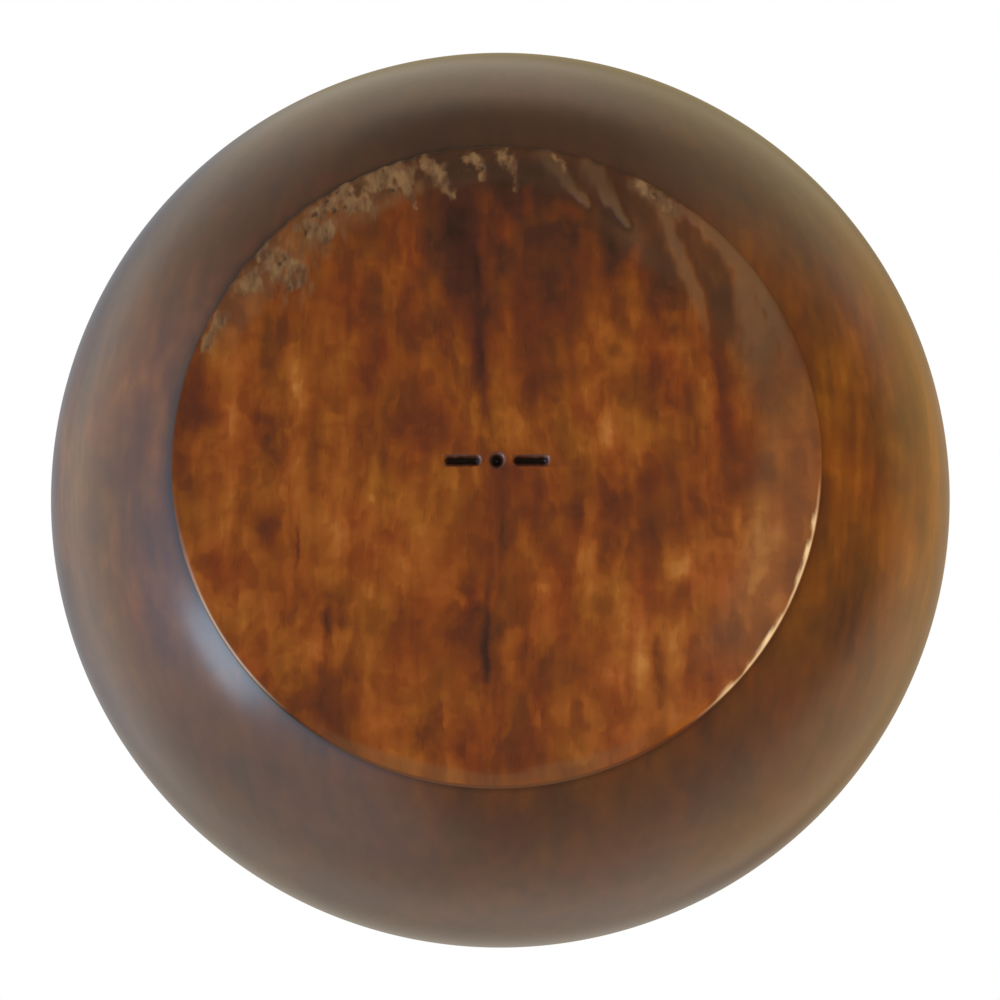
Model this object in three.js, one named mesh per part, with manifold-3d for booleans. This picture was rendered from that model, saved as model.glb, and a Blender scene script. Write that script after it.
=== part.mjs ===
// A lidded wooden bowl, turned on a lathe from side-grain hardwood: a squat round bowl on a low
// foot, a domed lid with a spigot that drops into the mouth, and a knob whose tenon passes through
// the lid and is spread from below by a wedge.
// Millimetres, +Z up. The origin is the centre of the foot's underside, and the grain runs along Y.
import * as THREE from "three";
import { mergeVertices } from "three/addons/utils/BufferGeometryUtils.js";
import Module from "manifold-3d";

// The bowl's outside
const BELLY_RADIUS = 80; // the widest line
const BELLY_HEIGHT = 42; // its height above the table
const FOOT_RADIUS = 52.7;
const FOOT_HEIGHT = 3;
const FOOT_ARRIS = 0.7; // rounding of the foot's lower edge
const FOOT_DRAFT = 0.5; // how far the foot's wall leans in towards the bowl
const FLARE_SLOPE = 20; // degrees above level at which the bowl leaves the foot
const RIM_HEIGHT = 76; // the level land that carries the lid
const COLLAR_HEIGHT = 4; // upright band below the land
const COLLAR_ROUND = 0.8;
const SHOULDER_SLOPE = 27; // degrees above level at which the shoulder meets the collar

// The bowl's inside
const WALL = 7; // at the belly
const FLOOR = 10;
const FLOOR_FLAT_RADIUS = 36;
const MOUTH_RADIUS = 53;
const MOUTH_DEPTH = 10; // straight throat that guides the spigot
const THROAT_SLOPE = 20; // degrees above level at which the inside meets the throat
const RIM_WIDTH = 8.5; // from the mouth to the collar's face

// The lid
const LID_OVERHANG = 1.8; // past the collar
const LID_EDGE = 4.2; // height of the rounded edge
const EDGE_STEP = 1.4; // the small step between the edge and the dome
const LID_RISE = 13; // from the edge to the seat of the knob
const DOME_SLOPE = 38; // degrees above level at which the dome leaves the edge
const LID_CENTRE = 10; // thickness under the knob
const LID_FLAT_RADIUS = 16; // level land around the tenon, below
const SEAT_RADIUS = 13.5; // level land around the tenon, above
const SPIGOT_DEPTH = 6;
const SPIGOT_WIDTH = 6;
const SPIGOT_WALL = 4; // straight part of the spigot's inner face
const SPIGOT_GAP = 0.4; // all round, between the spigot and the mouth

// The knob
const COLLAR_BEAD_RADIUS = 11.5;
const COLLAR_BEAD_HEIGHT = 3.2;
const NECK_RADIUS = 6.4;
const NECK_HEIGHT = 8; // of the thinnest line, above the seat
const BULB_RADIUS = 13.5;
const BULB_HEIGHT = 17; // of the widest line, above the seat
const KNOB_HEIGHT = 24.5; // of the shoulder of the top button, above the seat
const BUTTON_RADIUS = 2.6;
const BUTTON_HEIGHT = 1.8;
const TENON_RADIUS = 6;
const TENON_GAP = 0.15; // glue line around the tenon

// The wedge and the saw kerf that it spreads
const KERF_DEPTH = 8;
const KERF_MOUTH = 2.6; // width at the tenon's end
const KERF_TIP = 1.1; // width at the bottom of the kerf
const WEDGE_GAP = 0.15; // glue line on each side
const WEDGE_TIP_GAP = 0.6; // left free beyond the wedge's tip

// Pairs of scribed lines: on the shoulder of the bowl and on the dome of the lid
const SCRIBE_WIDTH = 1.1;
const SCRIBE_DEPTH = 0.45;
const SHOULDER_SCRIBE_DROP = 9; // from the collar's foot down to the shoulder's upper line
const SHOULDER_SCRIBE_SPACING = 2.6; // in height
const DOME_SCRIBE_DROP = 5; // from the knob's seat down to the dome's upper line
const DOME_SCRIBE_SPACING = 1.5; // in height

// The drive centre's mark on the foot: a pip and two chisel cuts
const MARK_SPAN = 17; // across both cuts
const MARK_INNER = 5.2; // between the inner ends of the cuts
const CUT_WIDTH = 2;
const CUT_DEPTH = 1.1;
const PIP_RADIUS = 1.3;
const PIP_DEPTH = 1.8;

// Facets
const BODY_SIDES = 52;
const KNOB_SIDES = 32;
const PIP_SIDES = 12;
const LONG_CURVE = 9; // steps along a large curve of a profile
const SHORT_CURVE = 5;
const ROUND_STEPS = 3;

const wasm = await Module();
wasm.setup();

const radians = THREE.MathUtils.degToRad;
const point = (r, z) => new THREE.Vector2(r, z);

// A curve that leaves `from` towards `corner` and arrives at `to` from it, bowed like an arc of an
// ellipse. It leaves out its first point, so that curves and points can be strung together.
function bow(from, corner, to, steps) {
  const leaving = corner.clone().sub(from);
  const arriving = to.clone().sub(corner);
  const turn = Math.abs(leaving.angleTo(arriving));
  const share = ((4 / 3) * Math.tan(turn / 4)) / Math.tan(turn / 2);
  const curve = new THREE.CubicBezierCurve(
    from,
    from.clone().lerp(corner, share),
    to.clone().lerp(corner, share),
    to,
  );
  return curve.getPoints(steps).slice(1);
}

// Cuts a V-shaped line of the scribe's width and depth into a profile that climbs past height z,
// with the solid on its left.
function scribe(profile, z) {
  const end = profile.findIndex((p, i) => i > 0 && profile[i - 1].y < z && p.y >= z);
  const [low, high] = [profile[end - 1], profile[end]];
  const centre = low.clone().lerp(high, (z - low.y) / (high.y - low.y));
  const along = high.clone().sub(low).normalize();
  const inward = point(-along.y, along.x);
  const half = SCRIBE_WIDTH / 2;
  const clear = (p) => Math.abs(p.clone().sub(centre).dot(along)) > half;
  return [
    ...profile.slice(0, end).filter(clear),
    centre.clone().addScaledVector(along, -half),
    centre.clone().addScaledVector(inward, SCRIBE_DEPTH),
    centre.clone().addScaledVector(along, half),
    ...profile.slice(end).filter(clear),
  ];
}

// Turns a profile of (radius, height) points about Z.
function turned(profile, sides) {
  return new THREE.LatheGeometry(profile, sides).rotateX(Math.PI / 2);
}

// A geometry as a manifold solid, ready to be cut.
function solidOf(geometry) {
  const bare = geometry.index ? geometry.toNonIndexed() : geometry.clone();
  bare.deleteAttribute("normal");
  bare.deleteAttribute("uv");
  const merged = mergeVertices(bare, 1e-4);
  return new wasm.Manifold(
    new wasm.Mesh({
      numProp: 3,
      vertProperties: merged.attributes.position.array,
      triVerts: new Uint32Array(merged.index.array),
    }),
  );
}

// A manifold solid as a geometry.
function geometryOf(solid) {
  const { numProp, numVert, vertProperties, triVerts } = solid.getMesh();
  const positions = new Float32Array(numVert * 3);
  for (let i = 0; i < numVert; i++) {
    positions.set(vertProperties.subarray(i * numProp, i * numProp + 3), i * 3);
  }
  const geometry = new THREE.BufferGeometry()
    .setAttribute("position", new THREE.BufferAttribute(positions, 3))
    .setIndex(new THREE.BufferAttribute(triVerts, 1));
  geometry.computeVertexNormals();
  return geometry;
}

// A prism along X whose section in the YZ plane is the given list of (y, z) points, anticlockwise
// when seen from +X.
function prismAlongX(section, length, middle) {
  const shape = new THREE.Shape(section);
  const geometry = new THREE.ExtrudeGeometry(shape, { depth: length, bevelEnabled: false });
  return geometry
    .translate(0, 0, -length / 2)
    .rotateY(Math.PI / 2)
    .rotateX(Math.PI / 2)
    .translate(middle, 0, 0);
}

const wood = (colour, roughness) =>
  new THREE.MeshStandardMaterial({ color: colour, roughness, metalness: 0 });
const varnished_hardwood = wood(0x8a4a20, 0.35);
const varnished_knob_wood = wood(0x7c421e, 0.35);
const pale_wedge_wood = wood(0xb98a55, 0.6);

const part = new THREE.Group();

function add(name, geometry, material) {
  const mesh = new THREE.Mesh(geometry, material);
  mesh.name = name;
  part.add(mesh);
}

// Bowl: up the outside from the foot to the rim, then down the inside to the floor
const collarRadius = MOUTH_RADIUS + RIM_WIDTH;
const collarFoot = RIM_HEIGHT - COLLAR_HEIGHT;
const footRoot = point(FOOT_RADIUS - FOOT_DRAFT, FOOT_HEIGHT);
const throatFoot = point(MOUTH_RADIUS, RIM_HEIGHT - MOUTH_DEPTH);

function bowlOutside() {
  const belly = point(BELLY_RADIUS, BELLY_HEIGHT);
  const collar = point(collarRadius, collarFoot);
  const flareRise = (BELLY_RADIUS - footRoot.x) * Math.tan(radians(FLARE_SLOPE));
  const shoulderRise = (BELLY_RADIUS - collarRadius) * Math.tan(radians(SHOULDER_SLOPE));
  const arrisTop = point(FOOT_RADIUS, FOOT_ARRIS);
  const upper = [
    belly,
    ...bow(belly, point(BELLY_RADIUS, collarFoot - shoulderRise), collar, LONG_CURVE),
  ];
  const upperLine = collarFoot - SHOULDER_SCRIBE_DROP;
  const scribed = [upperLine, upperLine - SHOULDER_SCRIBE_SPACING].reduce(scribe, upper);
  return [
    point(0, 0),
    point(FOOT_RADIUS - FOOT_ARRIS, 0),
    ...bow(point(FOOT_RADIUS - FOOT_ARRIS, 0), point(FOOT_RADIUS, 0), arrisTop, ROUND_STEPS),
    footRoot,
    ...bow(footRoot, point(BELLY_RADIUS, FOOT_HEIGHT + flareRise), belly, LONG_CURVE).slice(0, -1),
    ...scribed,
    point(collarRadius, RIM_HEIGHT - COLLAR_ROUND),
    ...bow(
      point(collarRadius, RIM_HEIGHT - COLLAR_ROUND),
      point(collarRadius, RIM_HEIGHT),
      point(collarRadius - COLLAR_ROUND, RIM_HEIGHT),
      ROUND_STEPS,
    ),
  ];
}

function bowlInside() {
  const belly = point(BELLY_RADIUS - WALL, BELLY_HEIGHT);
  const floorEdge = point(FLOOR_FLAT_RADIUS, FLOOR);
  const throatDrop = (belly.x - MOUTH_RADIUS) * Math.tan(radians(THROAT_SLOPE));
  return [
    point(MOUTH_RADIUS, RIM_HEIGHT),
    throatFoot,
    ...bow(throatFoot, point(belly.x, throatFoot.y - throatDrop), belly, LONG_CURVE),
    ...bow(belly, point(belly.x, FLOOR), floorEdge, LONG_CURVE),
    point(0, FLOOR),
  ];
}

// Two chisel cuts of V section and a conical pip, standing below the foot so that they cut into it.
function driveMark() {
  const cutLength = (MARK_SPAN - MARK_INNER) / 2;
  const below = CUT_DEPTH;
  const spread = (CUT_WIDTH / 2) * ((CUT_DEPTH + below) / CUT_DEPTH);
  const section = [point(-spread, -below), point(spread, -below), point(0, CUT_DEPTH)];
  const cuts = [-1, 1].map((side) =>
    solidOf(prismAlongX(section, cutLength, (side * (MARK_INNER + cutLength)) / 2)),
  );
  const pipBelow = PIP_DEPTH;
  const pipSpread = PIP_RADIUS * ((PIP_DEPTH + pipBelow) / PIP_DEPTH);
  const pip = solidOf(
    turned([point(0, -pipBelow), point(pipSpread, -pipBelow), point(0, PIP_DEPTH)], PIP_SIDES),
  );
  return cuts[0].add(cuts[1]).add(pip);
}

const bowlBlank = solidOf(turned([...bowlOutside(), ...bowlInside()], BODY_SIDES));
add("bowl", geometryOf(bowlBlank.subtract(driveMark())), varnished_hardwood);

// Lid: a closed ring of profile round the hole for the tenon
const lidRadius = collarRadius + LID_OVERHANG;
const edgeTop = RIM_HEIGHT + LID_EDGE;
const seatHeight = edgeTop + LID_RISE;
const lidUnder = seatHeight - LID_CENTRE;
const spigotRadius = MOUTH_RADIUS - SPIGOT_GAP;
const spigotInner = spigotRadius - SPIGOT_WIDTH;
const spigotFoot = RIM_HEIGHT - SPIGOT_DEPTH;
const holeRadius = TENON_RADIUS + TENON_GAP;

function lidProfile() {
  const bead = LID_EDGE / 2;
  const beadFoot = point(lidRadius - bead, RIM_HEIGHT);
  const beadMiddle = point(lidRadius, RIM_HEIGHT + bead);
  const beadTop = point(lidRadius - bead, edgeTop);
  const domeFoot = point(lidRadius - bead - EDGE_STEP, edgeTop);
  const seatEdge = point(SEAT_RADIUS, seatHeight);
  const domeReach = LID_RISE / Math.tan(radians(DOME_SLOPE));
  const dome = [
    domeFoot,
    ...bow(domeFoot, point(domeFoot.x - domeReach, seatHeight), seatEdge, LONG_CURVE),
  ];
  const upperLine = seatHeight - DOME_SCRIBE_DROP;
  const scribedDome = [upperLine, upperLine - DOME_SCRIBE_SPACING].reduce(scribe, dome);
  const underEdge = point(LID_FLAT_RADIUS, lidUnder);
  const spigotShoulder = point(spigotInner, spigotFoot + SPIGOT_WALL);
  const hollow = bow(underEdge, point(spigotInner, lidUnder), spigotShoulder, LONG_CURVE);
  return [
    point(spigotRadius, RIM_HEIGHT),
    beadFoot,
    ...bow(beadFoot, point(lidRadius, RIM_HEIGHT), beadMiddle, ROUND_STEPS),
    ...bow(beadMiddle, point(lidRadius, edgeTop), beadTop, ROUND_STEPS),
    ...scribedDome,
    point(holeRadius, seatHeight),
    point(holeRadius, lidUnder),
    underEdge,
    ...hollow,
    point(spigotInner, spigotFoot),
    point(spigotRadius, spigotFoot),
    point(spigotRadius, RIM_HEIGHT),
  ];
}

add("lid", turned(lidProfile(), BODY_SIDES), varnished_hardwood);

// Knob: tenon, rounded collar, neck, bulb and a small button on top
function knobProfile() {
  const bead = COLLAR_BEAD_HEIGHT / 2;
  const beadFoot = point(COLLAR_BEAD_RADIUS - bead, seatHeight);
  const beadMiddle = point(COLLAR_BEAD_RADIUS, seatHeight + bead);
  const beadTop = point(COLLAR_BEAD_RADIUS - bead, seatHeight + COLLAR_BEAD_HEIGHT);
  const neck = point(NECK_RADIUS, seatHeight + NECK_HEIGHT);
  const bulb = point(BULB_RADIUS, seatHeight + BULB_HEIGHT);
  const bulbTop = point(BUTTON_RADIUS, seatHeight + KNOB_HEIGHT);
  const buttonTop = seatHeight + KNOB_HEIGHT + BUTTON_HEIGHT;
  return [
    point(0, lidUnder),
    point(TENON_RADIUS, lidUnder),
    point(TENON_RADIUS, seatHeight),
    beadFoot,
    ...bow(beadFoot, point(COLLAR_BEAD_RADIUS, seatHeight), beadMiddle, ROUND_STEPS),
    ...bow(beadMiddle, point(COLLAR_BEAD_RADIUS, beadTop.y), beadTop, ROUND_STEPS),
    ...bow(beadTop, point(NECK_RADIUS, beadTop.y), neck, SHORT_CURVE),
    ...bow(neck, point(NECK_RADIUS, (neck.y + bulb.y) / 2), bulbWaist(neck, bulb), ROUND_STEPS),
    ...bow(bulbWaist(neck, bulb), point(BULB_RADIUS, (neck.y + bulb.y) / 2), bulb, SHORT_CURVE),
    ...bow(bulb, point(BULB_RADIUS, bulbTop.y), bulbTop, SHORT_CURVE),
    ...bow(bulbTop, point(BUTTON_RADIUS, buttonTop), point(0, buttonTop), ROUND_STEPS),
  ];
}

// The point where the neck's hollow turns into the bulb's round
function bulbWaist(neck, bulb) {
  return neck.clone().lerp(bulb, 0.5);
}

// The kerf's tapered section, opened out by `gap` on each side and ending `tipGap` short of its tip
function kerfSection(gap, tipGap) {
  const taper = (KERF_MOUTH - KERF_TIP) / 2 / KERF_DEPTH;
  const tip = KERF_TIP / 2 + taper * tipGap - gap;
  const mouth = KERF_MOUTH / 2 - gap;
  const tipHeight = lidUnder + KERF_DEPTH - tipGap;
  return [
    point(-mouth, lidUnder),
    point(mouth, lidUnder),
    point(tip, tipHeight),
    point(-tip, tipHeight),
  ];
}

function knobWithKerf() {
  const blank = solidOf(turned(knobProfile(), KNOB_SIDES));
  const acrossTenon = 2 * (TENON_RADIUS + holeRadius);
  return blank.subtract(solidOf(prismAlongX(kerfSection(0, 0), acrossTenon, 0)));
}

add("knob", geometryOf(knobWithKerf()), varnished_knob_wood);

// Wedge: fills the kerf from side to side of the tenon
const wedgeLength = 2 * Math.sqrt(TENON_RADIUS ** 2 - (KERF_MOUTH / 2) ** 2);
add(
  "tenon_wedge",
  prismAlongX(kerfSection(WEDGE_GAP, WEDGE_TIP_GAP), wedgeLength, 0),
  pale_wedge_wood,
);

export default part;
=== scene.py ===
"""A lidded bowl turned from side-grain hardwood and varnished, seen from underneath.

The bowl stands on its foot at the origin, in metres, with +Z up and the grain of the bowl and the
lid along Y. The camera looks up at the foot, so the floor is one that shows only from above.
Sizes in the classes are millimetres, as a turner would write them, and become metres in the meshes.
"""

import logging
import math
from dataclasses import dataclass
from enum import Enum
from typing import Any

import bmesh
import bpy
from mathutils import Matrix, Vector, noise
from mathutils.geometry import interpolate_bezier

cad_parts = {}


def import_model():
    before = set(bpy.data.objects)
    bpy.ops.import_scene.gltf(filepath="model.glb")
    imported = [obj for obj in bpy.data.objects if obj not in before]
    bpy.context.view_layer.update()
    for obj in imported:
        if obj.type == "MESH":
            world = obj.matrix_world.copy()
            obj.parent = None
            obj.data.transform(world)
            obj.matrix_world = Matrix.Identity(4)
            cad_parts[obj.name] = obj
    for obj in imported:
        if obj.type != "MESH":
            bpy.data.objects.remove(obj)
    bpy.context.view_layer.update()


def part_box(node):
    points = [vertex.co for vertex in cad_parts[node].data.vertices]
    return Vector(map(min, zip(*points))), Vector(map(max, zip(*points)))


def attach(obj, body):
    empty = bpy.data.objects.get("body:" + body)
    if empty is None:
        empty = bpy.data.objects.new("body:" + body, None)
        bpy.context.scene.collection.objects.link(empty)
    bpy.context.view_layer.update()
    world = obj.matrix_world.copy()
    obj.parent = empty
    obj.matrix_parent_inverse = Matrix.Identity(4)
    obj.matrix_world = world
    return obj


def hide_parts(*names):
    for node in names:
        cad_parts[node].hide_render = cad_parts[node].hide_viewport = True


LOG = logging.getLogger("lidded_bowl")

MM = 0.001
WELD = 1e-7
DOUBLINGS = 5
EDGE_WEAR = 0.16  # of the stain, at most, is gone from a sharp edge
GROOVE_SHADE = 0.6  # how dark the painted shade in a sharp groove is, at most
LAMP_AIM = 0.04  # how high above the table the lamps are aimed, in metres

Point = tuple[float, float]
Colour = tuple[float, float, float, float]
Sockets = dict[str | int, Any]
Tree = bpy.types.NodeTree
Socket = bpy.types.NodeSocket


class Grain(Enum):
    """Which way the wood's grain runs in a piece: its axis, and the turn about X that brings it to Y."""

    LEVEL = ("Y", 0.0)
    UPRIGHT = ("Z", -math.pi / 2)


class Body(Enum):
    """The bodies that pieces ride on."""

    BOWL = "bowl"
    LID = "lid"


def linear(code: str, alpha: float = 1.0) -> Colour:
    """Turns an sRGB hex code into a linear colour.

    Args:
        code: Six hex digits, with or without a leading hash.
        alpha: The fourth number of the colour.

    Returns:
        The colour as linear red, green and blue, and alpha.
    """
    channels = [int(code.lstrip("#")[i : i + 2], 16) / 255 for i in (0, 2, 4)]
    red, green, blue = (
        c / 12.92 if c <= 0.04045 else ((c + 0.055) / 1.055) ** 2.4 for c in channels
    )
    return red, green, blue, alpha


def smooth(low: float, high: float, value: float) -> float:
    """Rises smoothly from 0 at low to 1 at high.

    Args:
        low: Where the rise starts.
        high: Where it ends; it may be the smaller one, and then the step falls.
        value: The place to measure.

    Returns:
        A number from 0 to 1.
    """
    share = min(max((value - low) / (high - low), 0.0), 1.0)
    return share * share * (3 - 2 * share)


def direction(azimuth: float, elevation: float) -> Vector:
    """Gives the unit vector towards a direction.

    Args:
        azimuth: In degrees from +X towards +Y.
        elevation: In degrees above the horizon.

    Returns:
        The vector.
    """
    turn, rise = math.radians(azimuth), math.radians(elevation)
    return Vector((math.cos(turn) * math.cos(rise), math.sin(turn) * math.cos(rise), math.sin(rise)))


def add_node(tree: Tree, kind: str, inputs: Sockets | None = None, **settings: Any) -> bpy.types.Node:
    """Adds one node, sets it up and wires its inputs.

    Args:
        tree: The node tree to add to.
        kind: The node's type name.
        inputs: What each input takes, by name or number: another node's output, or a value.
        settings: The node's own properties.

    Returns:
        The new node.
    """
    node = tree.nodes.new(kind)
    for name, value in settings.items():
        setattr(node, name, value)
    for key, value in (inputs or {}).items():
        if isinstance(value, Socket):
            tree.links.new(value, node.inputs[key])
        else:
            node.inputs[key].default_value = value
    return node


def fill_ramp(ramp: bpy.types.ColorRamp, stops: list[tuple[float, Colour]]) -> None:
    """Gives a new colour ramp its colours.

    Args:
        ramp: The ramp, with the two elements that it starts with.
        stops: The place and the colour of each element, from low to high.
    """
    for element, (position, colour) in zip(ramp.elements, (stops[0], stops[-1])):
        element.position, element.color = position, colour
    for position, colour in stops[1:-1]:
        ramp.elements.new(position).color = colour


class Outline:
    """The profile of a turned piece: points of (radius, height) in millimetres, drawn in order."""

    def __init__(self, radius: float, height: float) -> None:
        """Starts the profile at a radius and a height."""
        self.points: list[Point] = [(radius, height)]

    def line(self, end: Point, steps: int = 1) -> "Outline":
        """Draws a straight line.

        Args:
            end: Where the line ends.
            steps: How many pieces it is drawn in.

        Returns:
            The outline itself.
        """
        start = Vector(self.points[-1])
        self.points += [tuple(start.lerp(Vector(end), i / steps)) for i in range(1, steps + 1)]
        return self

    def bow(self, corner: Point, end: Point, steps: int) -> "Outline":
        """Draws a curve that leaves towards a corner and comes in from it, like an ellipse's arc.

        Args:
            corner: Where the tangents at both ends meet.
            end: Where the curve ends.
            steps: How many pieces it is drawn in.

        Returns:
            The outline itself.
        """
        start, middle, stop = Vector(self.points[-1]), Vector(corner), Vector(end)
        turn = (middle - start).angle(stop - middle)
        share = 4 / 3 * math.tan(turn / 4) / math.tan(turn / 2)
        handles = start.lerp(middle, share), stop.lerp(middle, share)
        curve = interpolate_bezier(start, *handles, stop, steps + 1)
        self.points += [tuple(p) for p in curve[1:]]
        return self

    def corner(self, corner: Point, towards: Point, size: float, steps: int = 3) -> "Outline":
        """Draws a line to a corner and rounds it.

        Args:
            corner: The sharp corner.
            towards: Where the outline goes next.
            size: How far from the corner the rounding starts and ends.
            steps: How many pieces the rounding is drawn in.

        Returns:
            The outline itself.
        """
        sharp = Vector(corner)
        before = sharp + (Vector(self.points[-1]) - sharp).normalized() * size
        after = sharp + (Vector(towards) - sharp).normalized() * size
        return self.line(tuple(before)).bow(corner, tuple(after), steps)

    def scribe(self, height: float, width: float, depth: float) -> "Outline":
        """Cuts a fine V-shaped line where the outline climbs past a height, the wood on its left.

        Args:
            height: The height of the line's middle.
            width: Its width along the surface.
            depth: Its depth below the surface.

        Returns:
            The outline itself.
        """
        pairs = zip(self.points, self.points[1:])
        end = next(i + 1 for i, (a, b) in enumerate(pairs) if a[1] < height <= b[1])
        low, high = Vector(self.points[end - 1]), Vector(self.points[end])
        centre = low.lerp(high, (height - low.y) / (high.y - low.y))
        along = (high - low).normalized()
        inward = Vector((-along.y, along.x))
        section = ((-0.5, 0), (-0.3, 0.4), (-0.12, 0.9), (0, 1), (0.12, 0.9), (0.3, 0.4), (0.5, 0))
        groove = [tuple(centre + along * u * width + inward * v * depth) for u, v in section]

        def clear(p: Point) -> bool:
            """Says whether a point lies outside the groove."""
            return abs((Vector(p) - centre).dot(along)) > width / 2

        before, after = self.points[:end], self.points[end:]
        self.points = [p for p in before if clear(p)] + groove + [p for p in after if clear(p)]
        return self


def turned(outline: Outline, sides: int, closed: bool = False) -> bmesh.types.BMesh:
    """Spins an outline round Z into a closed skin.

    One sector is spun, and then doubled round the axis until it closes, which is much quicker.

    Args:
        outline: The profile, from axis to axis or closed on itself.
        sides: How many facets go round, a multiple of the number of sectors.
        closed: Whether the last point joins the first.

    Returns:
        The skin, with its faces pointing out.
    """
    sectors = 2 ** DOUBLINGS
    bm = bmesh.new()
    verts = [bm.verts.new((r * MM, 0.0, z * MM)) for r, z in outline.points]
    edges = [bm.edges.new(pair) for pair in zip(verts, verts[1:])]
    if closed:
        edges.append(bm.edges.new((verts[-1], verts[0])))
    bmesh.ops.spin(
        bm, geom=verts + edges, cent=(0, 0, 0), axis=(0, 0, 1), angle=math.tau / sectors,
        steps=sides // sectors, use_merge=False,
    )
    for turn in range(DOUBLINGS):
        copy = bmesh.ops.duplicate(bm, geom=bm.verts[:] + bm.edges[:] + bm.faces[:])["geom"]
        bmesh.ops.rotate(
            bm, cent=(0, 0, 0), matrix=Matrix.Rotation(math.tau / sectors * 2 ** turn, 3, "Z"),
            verts=[item for item in copy if isinstance(item, bmesh.types.BMVert)],
        )
    bmesh.ops.remove_doubles(bm, verts=bm.verts, dist=WELD)
    bmesh.ops.recalc_face_normals(bm, faces=bm.faces)
    return bm


def mark_edges(bm: bmesh.types.BMesh, start: float = 0.35, full: float = 1.3) -> None:
    """Writes the attributes "worn" and "recess", for rubbed edges and for the painted shade in grooves.

    Args:
        bm: The piece.
        start: The curvature, in turns of one radian per millimetre, at which either starts.
        full: The curvature at which either is at its most.
    """
    worn_and_glint = bm.verts.layers.float.new("worn_and_glint")
    recess_shade = bm.verts.layers.float.new("recess_shade")
    for edge in bm.edges:
        if len(edge.link_faces) != 2:
            continue
        span = sum(face.calc_area() for face in edge.link_faces) / 2 / edge.calc_length()
        bend = edge.calc_face_angle_signed(0.0) / span * MM
        # Rubbed convex edges turn paler, concave grooves get painted shade
        layer, most = (worn_and_glint, EDGE_WEAR) if bend > 0 else (recess_shade, GROOVE_SHADE)
        amount = most * smooth(start, full, abs(bend))
        for vert in edge.verts:
            vert[layer] = max(vert[layer], amount)


def finish_piece(bm: bmesh.types.BMesh, name: str, sharp: float = 40.0) -> bpy.types.Object:
    """Shades a mesh smooth between its sharp edges and makes it an object.

    Args:
        bm: The mesh, which is freed.
        name: The object's name.
        sharp: The angle between faces, in degrees, past which an edge is shown sharp.

    Returns:
        The object, at the origin.
    """
    for face in bm.faces:
        face.smooth = True
    for edge in bm.edges:
        edge.smooth = edge.calc_face_angle(0.0) < math.radians(sharp)
    mesh = bpy.data.meshes.new(name)
    bm.to_mesh(mesh)
    bm.free()
    piece = bpy.data.objects.new(name, mesh)
    bpy.context.scene.collection.objects.link(piece)
    return piece


def hand_over(
    piece: bpy.types.Object, material: bpy.types.Material, body: Body, node: str
) -> None:
    """Dresses a piece and sets it in the frame.

    Args:
        piece: The piece.
        material: Its material.
        body: The body that it rides on.
        node: The plain solid that it stands for.
    """
    piece.data.materials.append(material)
    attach(piece, body.value)
    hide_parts(node)
    LOG.info("%s: %d vertices, rides on %s", piece.name, len(piece.data.vertices), body.value)


@dataclass(frozen=True)
class Figure:
    """A darker or paler place in the wood of the foot.

    Attributes:
        centre: Its middle, in millimetres from the axis.
        half: Half its width across the grain and half its length along it.
        tone: How far it shifts the wood's tone: below zero towards dark, above towards pale.
        lean: Its turn about Z, in degrees.
    """

    centre: Point
    half: Point
    tone: float
    lean: float = 0.0

    @property
    def streak(self) -> bool:
        """Says whether it is a narrow streak, which stays straight along the grain."""
        return self.half[0] < 3.0
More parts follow.
